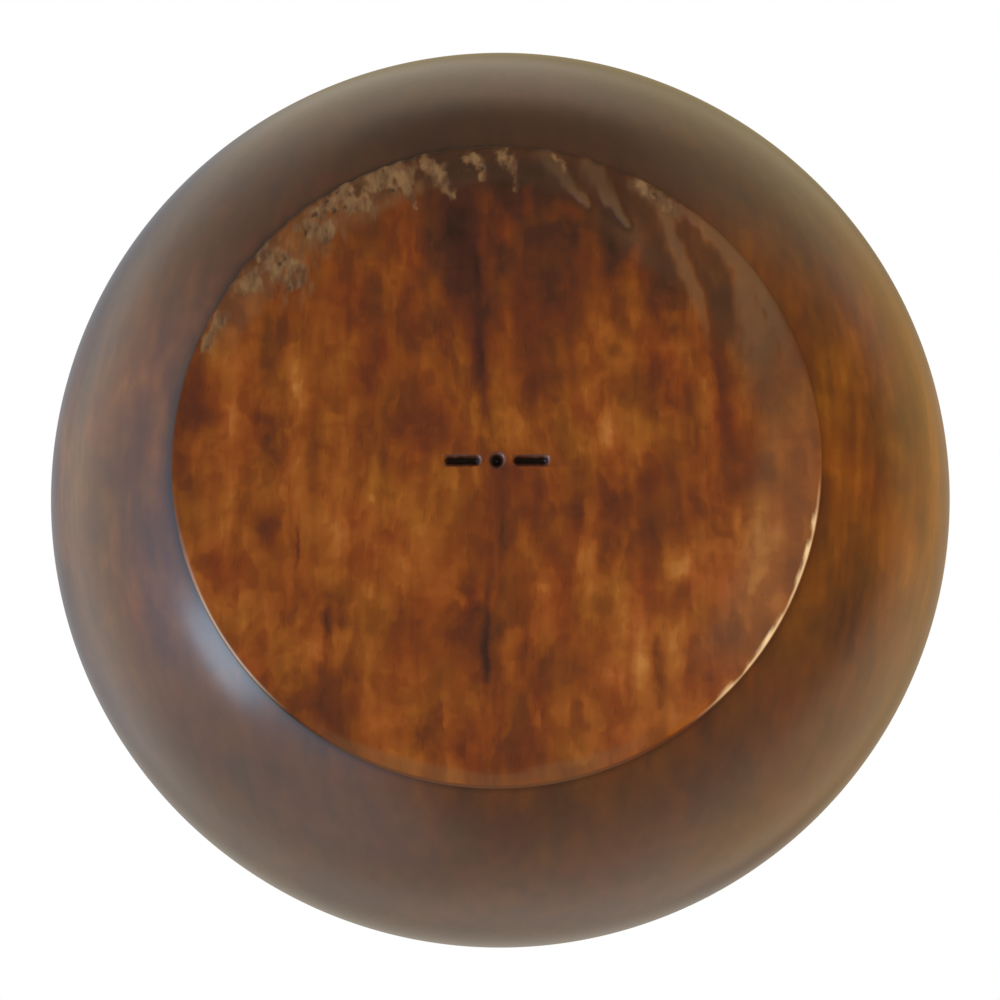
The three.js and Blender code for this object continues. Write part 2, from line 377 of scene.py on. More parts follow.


# The foot's cracks, clouds and pale streaks; the broad dark band near its edge at -Y is painted shade
FOOT_FIGURE = (
    Figure((-1.5, 27), (0.8, 14), -0.1, 2),
    Figure((-1.9, 33), (1.2, 7), -0.16, 3),
    Figure((-2.6, 31), (3.4, 11), -0.05, 2),
    Figure((2, 46), (8, 5), -0.07),
    Figure((-4.0, 24.5), (5.0, 4.5), -0.13, 10),
    Figure((-2.2, -15), (1.6, 20), -0.15, -3),
    Figure((1.0, 10), (1.2, 12), -0.12),
    Figure((1.8, -22), (2.2, 12), 0.08),
    # Painted shade: these three darken the face towards its edge at -Y
    Figure((-4, -41), (30, 8), -0.12),
    Figure((4, -47), (20, 6), -0.18, 4),
    Figure((2, -35), (22, 9), -0.1, -6),
    Figure((-7, -33), (6, 10), -0.1, -10),
    Figure((9, -26), (16, 8), -0.12),
    Figure((2, -18), (14, 12), -0.07),
    Figure((-21, -24), (5, 6), -0.1),
    Figure((-11, -22), (4.5, 4.5), -0.09),
    Figure((-12, -4), (7, 6), -0.1),
    Figure((7.5, -12.5), (6, 6), -0.1),
    Figure((25, -13), (5, 5), -0.08),
    Figure((20.5, 7.5), (12, 10.5), -0.12, 8),
    Figure((39, 4), (6, 10), -0.08),
    Figure((36.5, -12), (2.2, 18), -0.14, -4),
    Figure((-36.5, -4), (3.5, 6), -0.08),
    Figure((-36.5, 10), (3.5, 5), -0.08),
    Figure((-49.5, -6), (4, 12), -0.1),
    Figure((-27.2, 25), (0.9, 4.5), -0.16, -3),
    Figure((-26, 25), (4.5, 8), -0.09),
    Figure((-32, 13.5), (0.5, 5), -0.14),
    Figure((-30, 39), (12, 9), -0.12, 25),
    Figure((-11.5, 44), (3, 4), -0.1),
    Figure((25.5, 33), (1.5, 5), -0.15, -3),
    Figure((6, 35), (5, 6), -0.06),
    Figure((-42.5, -12), (2.9, 15), 0.09),
    Figure((-33, -12), (1.6, 11), 0.09),
    Figure((-37.5, -20), (2.2, 6), -0.06),
    Figure((-37, -3), (2.8, 8), -0.1),
    Figure((-29.5, -6), (1.4, 9), -0.06),
    Figure((-43, 6), (2.6, 8), 0.07),
    Figure((-34, 10), (1.6, 8), 0.1),
    Figure((-30, 5), (1.8, 8), -0.06),
    Figure((-26, 13), (2.8, 6), 0.07),
    Figure((-31.5, 25), (2.0, 7), 0.08),
    Figure((-41, 27), (2.0, 6), 0.07),
    Figure((-20, 4), (1.8, 9), 0.06),
    Figure((-15, 16), (2.4, 8), 0.07),
    Figure((43, -12), (6, 14), -0.08),
    Figure((42, 15), (6, 13), 0.12),
    Figure((-34, 8), (18, 26), 0.03),
    Figure((60, 0), (8, 17), 0.15),
    Figure((27.6, -30), (2.4, 8), -0.12, -13),
    Figure((18.5, -34), (2.6, 8), -0.1, -12),
    Figure((13, -38), (3, 6), -0.12, -20),
    Figure((5.8, -46.5), (3.4, 4.5), -0.1, -20),
    Figure((-7.5, -37), (3.2, 8), -0.05, -18),
    Figure((-3, -30), (1.4, 10), -0.07, -8),
    Figure((-22, 22), (12, 17), 0.04, -8),
    Figure((21.5, -36), (5, 7), -0.19),
    Figure((29, -25), (2.9, 8), -0.11, -15),
    Figure((-29.5, -3), (3.2, 6), -0.05),
    Figure((-19, 34), (9, 9), 0.05),
    Figure((26, -28), (5, 8), -0.07),
    Figure((56, 33), (6, 10), -0.04),
    Figure((31, 17), (4.5, 6), 0.1),
    Figure((20.5, 26), (3, 9), 0.09),
    Figure((23, 31), (13, 14), 0.06),
    Figure((19, -4), (7, 5), 0.06),
    Figure((21, -18), (3, 6), 0.05),
)


@dataclass(frozen=True)
class Layer:
    """One layer of the wood's mottle, stretched along the grain.

    Attributes:
        across: The width of its patches across the grain, in millimetres.
        along: Their length along it.
        detail: How many finer layers it has in itself; with none, it is brush-like strokes.
        face_share: Its share in the tone where the foot's face was sanded back.
        wall_share: Its share in the tone everywhere else.
    """

    across: float
    along: float
    detail: float = 2.0
    face_share: float = 0.0
    wall_share: float = 0.0


MOTTLE = (
    Layer(13, 20, 2.0, 0.36, 0.44),
    Layer(4.2, 6.5, 1.5, 0.27, 0.18),
    Layer(2.7, 36, 1.0, 0.16, 0.28),
    Layer(3.2, 5.2, 0.0, 0.14, 0.06),
    Layer(1.6, 2.8, 0.0, 0.07, 0.04),
)


@dataclass(frozen=True)
class Hardwood:
    """Side-grain hardwood stained red-brown under a satin varnish.

    The stain takes unevenly, so the eye sees a mottle of red-brown brush-like patches over an
    orange ground, darker end grain, and the broad soft gloss of the varnish.

    Attributes:
        tones: The wood's colours from dark to pale, each at its place on the scale of tone.
        pore: The open pores.
        bare_and_glint: Wood rubbed free of stain on an edge, which on the foot's edge is also a painted
            glint.
        torn: Torn grain, which stays dull and pale, from its shade to its light; the pale tan is partly a
            painted reflection.
        rubbed: Where the foot was rubbed down and the stain is thinner and dull, greyed partly as a painted
            sheen; on the ridges it is a painted highlight.
        painted_shade: Painted shade round the broken edge, beside the foot on the wall and in the hollows
            by the ridges.
        recess_shade: Painted shade in cuts, pits and grooves.
        roughness: Of the wood under the varnish.
        dull_roughness: Of the wood where the varnish is gone.
        ior: The wood's refractive index.
        specular: How much of its own gloss the wood keeps under the varnish.
        coat: How much varnish there is.
        coat_roughness: How satin the varnish is.
        coat_ior: The varnish's refractive index.
        end_calm: How far end grain evens the mottle out.
        end_tone: How far end grain shifts the tone, because it drinks more stain.
        wall_tone: How far the tone is shifted where the foot's face wasn't sanded back.
        wall_hue: How far the hue is turned towards yellow there, in whole turns.
        hue_swing: How far the hue wanders either way, in whole turns.
        figure_spread: How far a figure fades out, in times its own half width and length.
        figure_gain: The tone at a figure's middle, in times the tone that it gives.
        figure_rise: How far above the table a figure of the foot reaches, in millimetres.
        ripple_length: The length of the varnish's slow ripple, in millimetres.
        ripple_depth: Its depth.
        ring_width: The width of the rings that the gouge left.
        ring_depth: Their depth.
        fibre_depth: The depth between fibres.
        pore_depth: The depth of the pores.
    """

    tones: tuple[tuple[float, str], ...] = (
        (0.02, "2a1f18"),
        (0.24, "4a2b1e"),
        (0.40, "66361b"),
        (0.50, "7c431a"),
        (0.60, "935521"),
        (0.74, "b0763a"),
    )
    pore: str = "2e170c"
    # Pale enough to serve as a painted glint on the foot's edge
    bare_and_glint: str = "f8deb0"
    # The pale tan is partly a painted reflection
    torn: tuple[str, str] = ("5a4231", "856a4a")
    # Greyed partly as a painted sheen, and a painted highlight on the ridges
    rubbed: str = "6e5840"
    # Painted shade round the broken edge and beside the foot
    painted_shade: str = "392a20"
    # Painted shade in cuts, pits and grooves
    recess_shade: str = "17100a"
    roughness: float = 0.5
    dull_roughness: float = 0.75
    ior: float = 1.5
    specular: float = 0.06
    coat: float = 1.0
    coat_roughness: float = 0.22
    coat_ior: float = 1.65
    end_calm: float = 0.6
    end_tone: float = -0.16
    wall_tone: float = -0.08
    wall_hue: float = 0.011
    hue_swing: float = 0.018
    figure_spread: float = 1.5
    figure_gain: float = 1.6
    figure_rise: float = 14.0
    ripple_length: float = 6.0
    ripple_depth: float = 0.045
    ring_width: float = 0.8
    ring_depth: float = 0.003
    fibre_depth: float = 0.01
    pore_depth: float = 0.006

    def material(
        self, name: str, grain: Grain, shift: tuple[float, float, float], figures: tuple[Figure, ...] = ()
    ) -> bpy.types.Material:
        """Makes the material of one piece.

        Args:
            name: The material's name.
            grain: Which way the grain runs in the piece.
            shift: Where in the tree the piece was cut, in millimetres, so that no two look alike.
            figures: Darker and paler places to add to the wood's own.

        Returns:
            The material.
        """
        material = bpy.data.materials.new(name)
        material.use_nodes = True
        tree = material.node_tree
        tree.nodes.clear()
        axis, turn = grain.value
        place = add_node(tree, "ShaderNodeTexCoord")
        wood = add_node(tree, "ShaderNodeMapping", {
            "Vector": place.outputs["Object"],
            "Location": shift,
            "Rotation": (turn, 0, 0),
            "Scale": (1 / MM,) * 3,
        }).outputs["Vector"]
        wavy = self._waver(tree, wood)
        facing = add_node(tree, "ShaderNodeSeparateXYZ", {0: place.outputs["Normal"]}).outputs[axis]
        steepness = add_node(tree, "ShaderNodeMath", {0: facing}, operation="ABSOLUTE")
        end_grain = add_node(tree, "ShaderNodeMapRange", {
            "Value": steepness.outputs[0], "From Min": 0.12, "From Max": 0.55,
        }, interpolation_type="SMOOTHSTEP").outputs[0]
        sanded = add_node(tree, "ShaderNodeAttribute", attribute_name="sanded").outputs["Fac"]
        tone = self._tone(tree, wavy, end_grain, sanded)
        if figures:
            tone = self._figured(tree, place.outputs["Object"], wavy, tone, figures)
        pores = add_node(tree, "ShaderNodeMapRange", {
            "Value": self._stretched(tree, wavy, Layer(0.32, 3.6, 1.0)), "From Min": 0.64, "From Max": 0.76,
        }, interpolation_type="SMOOTHSTEP").outputs[0]
        masks = {
            mask: add_node(tree, "ShaderNodeAttribute", attribute_name=mask).outputs["Fac"]
            for mask in ("rubbed", "painted_shade", "torn", "worn_and_glint", "recess_shade", "dull")
        }
        roughness = add_node(tree, "ShaderNodeMapRange", {
            "Value": masks["dull"], "To Min": self.roughness, "To Max": self.dull_roughness,
        })
        varnish = add_node(tree, "ShaderNodeMapRange", {
            "Value": masks["dull"], "To Min": self.coat, "To Max": 0.0,
        })
        shader = add_node(tree, "ShaderNodeBsdfPrincipled", {
            "Base Color": self._colour(tree, wavy, tone, sanded, pores, masks),
            "Roughness": roughness.outputs[0],
            "IOR": self.ior,
            "Specular IOR Level": self.specular,
            "Coat Weight": varnish.outputs[0],
            "Coat Roughness": self.coat_roughness,
            "Coat IOR": self.coat_ior,
            "Normal": self._bump(tree, place.outputs["Object"], wavy, pores),
        })
        add_node(tree, "ShaderNodeOutputMaterial", {"Surface": shader.outputs[0]})
        return material

    @staticmethod
    def _stretched(tree: Tree, vector: Socket, layer: Layer) -> Socket:
        """Makes the pattern of one layer.

        Args:
            tree: The material's nodes.
            vector: The place in the wood, in millimetres.
            layer: The layer.

        Returns:
            The pattern, from 0 to 1.
        """
        stretched = add_node(tree, "ShaderNodeMapping", {
            "Vector": vector, "Scale": (1 / layer.across, 1 / layer.along, 1 / layer.across),
        })
        if not layer.detail:
            strokes = add_node(tree, "ShaderNodeTexVoronoi", {
                "Vector": stretched.outputs[0], "Scale": 1.0, "Smoothness": 0.3, "Randomness": 0.9,
            }, feature="SMOOTH_F1", distance="CHEBYCHEV")
            return strokes.outputs["Color"]
        pattern = add_node(tree, "ShaderNodeTexNoise", {
            "Vector": stretched.outputs[0], "Scale": 1.0, "Detail": layer.detail, "Roughness": 0.55,
        })
        return pattern.outputs["Fac"]

    @staticmethod
    def _shaken(
        tree: Tree, start: Socket, noise_of: bpy.types.Node, reach: tuple[float, float, float]
    ) -> Socket:
        """Shifts a place by a coloured noise.

        Args:
            tree: The material's nodes.
            start: The place.
            noise_of: The node that makes the noise.
            reach: The noise's whole range in each direction, half of it either way.

        Returns:
            The shifted place.
        """
        centred = add_node(tree, "ShaderNodeVectorMath", {
            0: noise_of.outputs["Color"], 1: (0.5,) * 3,
        }, operation="SUBTRACT")
        return add_node(tree, "ShaderNodeVectorMath", {
            0: centred.outputs[0], 1: reach, 2: start,
        }, operation="MULTIPLY_ADD").outputs[0]

    def _waver(self, tree: Tree, wood: Socket) -> Socket:
        """Bends the grain, which wanders by some 4 mm over a hand's breadth, and frays it a little.

        Args:
            tree: The material's nodes.
            wood: The place in the wood, in millimetres.

        Returns:
            The place that the pattern is read at.
        """
        slow = add_node(tree, "ShaderNodeMapping", {"Vector": wood, "Scale": (1 / 26, 1 / 70, 1 / 26)})
        wander = add_node(tree, "ShaderNodeTexNoise", {
            "Vector": slow.outputs[0], "Scale": 1.0, "Detail": 2.0,
        })
        fray = add_node(tree, "ShaderNodeTexNoise", {"Vector": wood, "Scale": 1 / 2.4, "Detail": 1.0})
        bent = self._shaken(tree, wood, wander, (9, 4, 9))
        return self._shaken(tree, bent, fray, (0.6, 1.3, 0.6))

    def _tone(
        self,
        tree: Tree,
        wavy: Socket,
        end_grain: Socket,
        sanded: Socket,
    ) -> Socket:
        """Adds the layers of the mottle up; end grain is darker and calmer.

        Args:
            tree: The material's nodes.
            wavy: The place in the wood, with the grain's bends.
            end_grain: How far the surface cuts across the grain.
            sanded: Where the stain was sanded back.

        Returns:
            The tone, about 0.5 where it was sanded back.
        """
        face = wall = 0.0
        for layer in MOTTLE:
            pattern = self._stretched(tree, wavy, layer)
            face, wall = (
                add_node(tree, "ShaderNodeMath", {
                    0: pattern, 1: share, 2: so_far,
                }, operation="MULTIPLY_ADD").outputs[0]
                for share, so_far in ((layer.face_share, face), (layer.wall_share, wall))
            )
        tone = add_node(tree, "ShaderNodeMix", {0: sanded, 2: wall, 3: face}, data_type="FLOAT").outputs[0]
        calm = add_node(tree, "ShaderNodeMath", {0: end_grain, 1: self.end_calm}, operation="MULTIPLY")
        even = add_node(tree, "ShaderNodeMix", {0: calm.outputs[0], 2: tone, 3: 0.5}, data_type="FLOAT")
        darker = add_node(tree, "ShaderNodeMapRange", {
            "Value": sanded, "To Min": self.wall_tone, "To Max": 0.0,
        })
        shifted = add_node(tree, "ShaderNodeMath", {0: even.outputs[0], 1: darker.outputs[0]})
        return add_node(tree, "ShaderNodeMath", {
            0: end_grain, 1: self.end_tone, 2: shifted.outputs[0],
        }, operation="MULTIPLY_ADD").outputs[0]

    def _figured(
        self,
        tree: Tree,
        place: Socket,
        wavy: Socket,
        tone: Socket,
        figures: tuple[Figure, ...],
    ) -> Socket:
        """Shifts the tone at known places, each with a frayed edge.

        Args:
            tree: The material's nodes.
            place: The place in the object, in metres.
            wavy: The place in the wood.
            tone: The wood's own tone.
            figures: The darker and paler places.

        Returns:
            The tone with them.
        """
        ragged = add_node(tree, "ShaderNodeTexNoise", {"Vector": wavy, "Scale": 0.3, "Detail": 3.0})
        frayed = self._shaken(tree, place, ragged, (6 * MM, 9 * MM, 0))
        straight = self._shaken(tree, place, ragged, (1.6 * MM, 12 * MM, 0))
        for figure in figures:
            (x, y), (width, length) = figure.centre, figure.half
            inside = add_node(tree, "ShaderNodeMapping", {
                "Vector": straight if figure.streak else frayed,
                "Location": (x * MM, y * MM, 0),
                "Rotation": (0, 0, math.radians(figure.lean)),
                "Scale": (
                    self.figure_spread * width * MM,
                    self.figure_spread * length * MM,
                    self.figure_rise * MM,
                ),
            }, vector_type="TEXTURE")
            near = add_node(tree, "ShaderNodeTexGradient", {
                "Vector": inside.outputs[0],
            }, gradient_type="QUADRATIC_SPHERE")
            tone = add_node(tree, "ShaderNodeMath", {
                0: near.outputs["Fac"], 1: self.figure_gain * figure.tone, 2: tone,
            }, operation="MULTIPLY_ADD").outputs[0]
        return tone

    def _colour(
        self,
        tree: Tree,
        wavy: Socket,
        tone: Socket,
        sanded: Socket,
        pores: Socket,
        masks: dict[str, Socket],
    ) -> Socket:
        """Turns the tone into colour, and lays pores, rubbed edges, torn grain, painted shade, painted
        sheen and painted glints over it.

        Args:
            tree: The material's nodes.
            wavy: The place in the wood.
            tone: The wood's tone.
            sanded: Where the stain was sanded back.
            pores: The pores.
            masks: Where the surface is rubbed and partly painted with sheen, painted with shade, torn,
                stripped of stain and partly painted with a glint, and recessed.

        Returns:
            The colour.
        """
        shades = add_node(tree, "ShaderNodeValToRGB", {"Fac": tone})
        fill_ramp(shades.color_ramp, [(position, linear(code)) for position, code in self.tones])
        redness = self._stretched(tree, wavy, Layer(8, 15))
        hue = add_node(tree, "ShaderNodeMapRange", {
            "Value": redness, "To Min": 0.5 - self.hue_swing, "To Max": 0.5 + self.hue_swing,
        })
        yellower = add_node(tree, "ShaderNodeMapRange", {
            "Value": sanded, "To Min": self.wall_hue, "To Max": 0.0,
        })
        turned_hue = add_node(tree, "ShaderNodeMath", {0: hue.outputs[0], 1: yellower.outputs[0]})
        tinted = add_node(tree, "ShaderNodeHueSaturation", {
            "Color": shades.outputs["Color"], "Hue": turned_hue.outputs[0],
        })
        chips = add_node(tree, "ShaderNodeMapRange", {
            "Value": self._stretched(tree, wavy, Layer(1.6, 3.4)), "From Min": 0.34, "From Max": 0.66,
        })
        torn = add_node(tree, "ShaderNodeMix", {
            0: chips.outputs[0], 6: linear(self.torn[0]), 7: linear(self.torn[1]),
        }, data_type="RGBA")
        colour = tinted.outputs["Color"]
        # Painted shade in hollows, grooves and beside the foot; rubbed and torn colours that are partly a
        # painted sheen; edges rubbed free of stain that are partly a painted glint
        for mask, share, over in (
            (pores, 0.2, linear(self.pore)),
            (masks["rubbed"], 0.8, linear(self.rubbed)),
            (masks["painted_shade"], 0.8, linear(self.painted_shade)),
            (masks["torn"], 0.95, torn.outputs[2]),
            (masks["worn_and_glint"], 0.9, linear(self.bare_and_glint)),
            (masks["recess_shade"], 1.0, linear(self.recess_shade)),
        ):
            part = add_node(tree, "ShaderNodeMath", {
                0: mask, 1: share,
            }, operation="MULTIPLY", use_clamp=True)
            colour = add_node(tree, "ShaderNodeMix", {
                0: part.outputs[0], 6: colour, 7: over,
            }, data_type="RGBA").outputs[2]
        return colour

    def _bump(
        self,
        tree: Tree,
        place: Socket,
        wavy: Socket,
        pores: Socket,
    ) -> Socket:
        """Roughens the surface: the varnish's ripple, the turner's rings, fibres and pores.

        Args:
            tree: The material's nodes.
            place: The place in the object, in metres.
            wavy: The place in the wood.
            pores: The pores.

        Returns:
            The bumped normal.
        """
        flat = add_node(tree, "ShaderNodeVectorMath", {0: place, 1: (1, 1, 0)}, operation="MULTIPLY")
        radius = add_node(tree, "ShaderNodeVectorMath", {0: flat.outputs[0]}, operation="LENGTH")
        height = add_node(tree, "ShaderNodeSeparateXYZ", {0: place})
        travel = add_node(tree, "ShaderNodeMath", {0: radius.outputs["Value"], 1: height.outputs["Z"]})
        rings = add_node(tree, "ShaderNodeTexNoise", {
            "W": travel.outputs[0], "Scale": 1 / (self.ring_width * MM), "Detail": 1.0,
        }, noise_dimensions="1D")
        ripple = add_node(tree, "ShaderNodeTexNoise", {
            "Vector": place, "Scale": 1 / (self.ripple_length * MM), "Detail": 1.0,
        })
        fibres = self._stretched(tree, wavy, Layer(0.8, 12))
        normal = None
        for height_of, depth in (
            (ripple.outputs["Fac"], self.ripple_depth),
            (rings.outputs["Fac"], self.ring_depth),
            (fibres, self.fibre_depth),
            (pores, -self.pore_depth),
        ):
            inputs: Sockets = {"Height": height_of, "Distance": abs(depth) * MM, "Strength": 1.0}
            if normal is not None:
                inputs["Normal"] = normal
            normal = add_node(tree, "ShaderNodeBump", inputs, invert=depth < 0).outputs[0]
        return normal


@dataclass(frozen=True)
class Sector:
    """A stretch of the way round the foot with soft ends, in degrees from +X towards +Y.

    Attributes:
        start: Where it begins.
        whole_from: Where it is whole.
        whole_to: Where it starts to end.
        end: Where it ends.
    """

    start: float
    whole_from: float
    whole_to: float
    end: float

    def at(self, angle: float) -> float:
        """Gives how much of it there is at an angle, from 0 to 1."""
        return smooth(self.start, self.whole_from, angle) * smooth(self.end, self.whole_to, angle)


@dataclass(frozen=True)
class Rolloff:
    """Where the foot's face was rubbed down towards its edge: it leaves the level at a radius.

    Attributes:
        sector: Where it lies round the foot.
        radius: The radius where the face starts to fall away, in millimetres.
        fall: How far it falls away at the edge.
    """

    sector: Sector
    radius: float
    fall: float


@dataclass(frozen=True)
class Stroke:
    """A stroke on the foot's face, where grain was torn out or a ridge was left.

    Attributes:
        start: Where it begins, in millimetres from the axis.
        end: Where it ends.
        widths: Its width at either end.
    """

    start: Point
    end: Point
    widths: Point

    def inside(self, x: float, y: float) -> float:
        """Gives how far a place is inside it.

        Args:
            x: The place across the grain, in millimetres.
            y: The place along it.

        Returns:
            1 on its middle line, 0 at its edge and less outside.
        """
        (start_x, start_y), (end_x, end_y) = self.start, self.end
        step_x, step_y = end_x - start_x, end_y - start_y
        share = ((x - start_x) * step_x + (y - start_y) * step_y) / (step_x ** 2 + step_y ** 2)
        share = min(1.0, max(0.0, share))
        width = self.widths[0] + share * (self.widths[1] - self.widths[0])
        return 1 - 2 * math.hypot(x - start_x - share * step_x, y - start_y - share * step_y) / width


TEARS = (
    Stroke((-48.1, -18.3), (-45.2, -23.5), (1.2, 1.9)),
    Stroke((-41.8, -29.0), (-39.8, -30.2), (2.8, 3.4)),
    Stroke((-37.6, -33.8), (-33.4, -30.6), (4.4, 5.4)),
    Stroke((-31.8, -38.8), (-28.4, -37.8), (3.4, 4.2)),
    Stroke((-29.6, -41.4), (-26.8, -43.0), (2.4, 2.8)),
    Stroke((-25.4, -44.8), (-22.0, -42.6), (3.4, 3.8)),
    Stroke((-20.0, -46.4), (-16.0, -47.6), (4.6, 5.4)),
    Stroke((-15.6, -46.4), (-13.2, -42.4), (2.4, 0.8)),
    Stroke((-11.8, -50.2), (-9.4, -47.8), (2.4, 2.4)),
    Stroke((-9.6, -47.6), (-6.9, -43.4), (1.9, 0.5)),
    Stroke((-5.2, -51.0), (-3.6, -50.0), (1.5, 1.8)),
    Stroke((-3.4, -49.8), (-1.9, -46.6), (1.0, 0.5)),
    Stroke((0.9, -51.4), (2.2, -49.4), (1.6, 1.4)),
    Stroke((2.4, -49.4), (3.4, -45.0), (1.0, 0.4)),
    Stroke((9.4, -50.6), (11.2, -48.4), (1.0, 0.8)),
    Stroke((23.8, -45.4), (28.4, -42.4), (1.8, 2.4)),
)

RIDGES = (
    Stroke((8.0, -51.0), (14.8, -42.6), (3.4, 0.8)),
    Stroke((15.6, -49.0), (21.6, -38.4), (3.6, 0.7)),
    Stroke((23.0, -46.0), (29.2, -41.6), (2.6, 3.0)),
    Stroke((27.4, -42.0), (29.9, -33.4), (2.0, 2.4)),
    Stroke((29.9, -33.4), (33.2, -25.8), (2.4, 2.2)),
    Stroke((33.2, -25.8), (34.2, -17.0), (1.6, 0.6)),
    Stroke((30.0, -42.4), (35.4, -38.4), (1.1, 2.0)),
    Stroke((35.2, -38.2), (40.8, -32.2), (2.8, 3.4)),
    Stroke((40.8, -32.2), (45.0, -25.0), (3.2, 3.0)),
    Stroke((45.0, -25.0), (48.8, -14.0), (3.0, 3.4)),
    Stroke((40.2, -31.0), (45.0, -9.0), (2.6, 8.0)),
)


@dataclass
class FootFace:
    """The foot's worked face: the drive centre's mark, the rubbed edge, tears and ridges.

    Attributes:
        radius: The foot's radius; this and all sizes are in millimetres.
        mark_span: From end to end of the mark's two cuts.
        mark_inner: Between their inner ends.
        cut_width: Their width.
        cut_depth: Their depth.
        pip_radius: The radius of the centre pip.
        pip_depth: Its depth.
        torn_depth: How deep torn grain lies.
        pit_depth: How much deeper its pits are.
        nick_depth: How far the edge stands back where it is broken.
        ridge_height: The height of the ridges.
        noise_seed: What shakes the tears and ridges the same way each time.
        fine_width: The width of the band at the edge whose mesh is refined.
        fine_angles: From where to where round the foot it is refined, in degrees.
        hollow_shade: How dark the painted shade in the hollows beside the ridges is, from 0 to 1.
        crest_shade: How dark the painted shade on the ridges is.
        shade_lift: How far the painted shade is lifted off torn grain, and off the ridges towards +X.
        roll_rub_and_sheen: How rubbed the face looks where it falls away, greyed partly as a painted sheen.
        crest_sheen: How far the ridges are paled as a painted highlight.
        broken: Where the edge is broken.
        ridged: Where the ridges are.
        shaded: Where painted shade lies round the broken edge.
        deepest_shade: Where the painted shade reaches furthest in.
        unshaded_wall: Where the wall beside the foot has no painted shade.
        bared_and_glinting: Where the stain is rubbed off the edge and a painted glint lies on it.
        highlight_line: Where a narrow painted highlight runs along the edge.
        glossy: Where the edge keeps its varnish.
        rolloffs: Where the face was rubbed down.
    """

    radius: float
    mark_span: float = 17.0
    mark_inner: float = 5.2
    cut_width: float = 2.0
    cut_depth: float = 1.1
    pip_radius: float = 1.3
    pip_depth: float = 1.8
    torn_depth: float = 0.1
    pit_depth: float = 0.3
    nick_depth: float = 0.5
    ridge_height: float = 0.28
    noise_seed: int = 37
    fine_width: float = 13.0
    fine_angles: Point = (-164, -20)
    hollow_shade: float = 0.85
    crest_shade: float = 0.5
    shade_lift: float = 0.85
    roll_rub_and_sheen: float = 0.4
    crest_sheen: float = 0.9
    broken: Sector = Sector(-164, -148, -66, -52)
    ridged: Sector = Sector(-92, -78, -34, -8)
    shaded: Sector = Sector(-178, -152, -60, -34)
    deepest_shade: Sector = Sector(-128, -96, -76, -50)
    unshaded_wall: Sector = Sector(-50, -25, 10, 34)
    bared_and_glinting: Sector = Sector(0, 14, 40, 56)
    highlight_line: Sector = Sector(128, 140, 152, 164)
    glossy: Sector = Sector(128, 143, 160, 176)
    rolloffs: tuple[Rolloff, ...] = (
        Rolloff(Sector(-74, -58, 34, 50), 40.5, 0.6),
        Rolloff(Sector(-162, -150, -74, -62), 45.0, 0.4),
        Rolloff(Sector(56, 72, 114, 130), 49.8, 0.12),
    )

    def mark(self, x: float, y: float) -> float:
        """Gives the depth of the drive centre's mark at a place on the foot.

        Args:
            x: The place across the grain, in millimetres.
            y: The place along it.

        Returns:
            The depth of the cut there.
        """
        pip = self.pip_depth * max(0.0, 1 - math.hypot(x, y) / self.pip_radius)
        inner, outer = self.mark_inner / 2, self.mark_span / 2
        ends = smooth(inner, inner + 0.5, abs(x)) * smooth(outer, outer - 0.5, abs(x))
        ragged = 0.12 * noise.noise(Vector((x * 1.7, y * 1.7, 3.0)))
        cut = self.cut_depth * max(0.0, 1 - abs(y + ragged) / (self.cut_width / 2))
        return max(pip, ends * cut)

    def rubbed(self, angle: float, radius: float) -> tuple[float, float]:
        """Gives how far the face was rubbed down.

        Args:
            angle: The place round the foot, in degrees.
            radius: The place out from the axis, in millimetres.

        Returns:
            The fall in millimetres, and how rubbed the place is, from 0 to 1, whose colour is partly a
            painted sheen.
        """
        fall = mask = 0.0
        along = math.radians(angle) * radius
        for roll in self.rolloffs:
            present = roll.sector.at(angle)
            start = roll.radius + 2.4 * noise.noise(Vector((along / 11, roll.radius, 0.0)))
            share = max(0.0, radius - start) / (self.radius - start)
            fall += present * roll.fall * share ** 1.3
            mask = max(mask, present * smooth(0.0, 0.3, share))
        return fall, mask

    def ridges(self, x: float, y: float, angle: float, radius: float) -> tuple[float, float, float]:
        """Gives the soft ridges that follow the grain across the rubbed edge.

        Args:
            x: The place across the grain, in millimetres.
            y: The place along it.
            angle: The place round the foot, in degrees.
            radius: The place out from the axis.

        Returns:
            The depth below the face in millimetres, how far the place is a crest, which gets a painted
            highlight, and how far it is a hollow beside one, which gets painted shade, each from 0 to 1.
        """
        present = self.ridged.at(angle) * smooth(self.radius - 14, self.radius - 7, radius)
        if present <= 0:
            return 0.0, 0.0, 0.0
        shake = noise.noise_vector(Vector((x / 1.8, y / 4.5, 6.1)))
        inside = max(ridge.inside(x + 0.6 * shake.x, y + shake.y) for ridge in RIDGES)
        lumps = 0.5 * noise.noise(Vector((x / 1.1, y / 3.0, 2.6)))
        crest = smooth(-0.8, 0.6, inside + lumps)
        at_arris = smooth(self.radius, self.radius - 2.5, radius)
        depth = present * at_arris * self.ridge_height * (1 - crest)
        shown = math.sqrt(present)
        return depth, shown * crest, shown * smooth(-5.0, -1.2, inside) * (1 - crest ** 2)

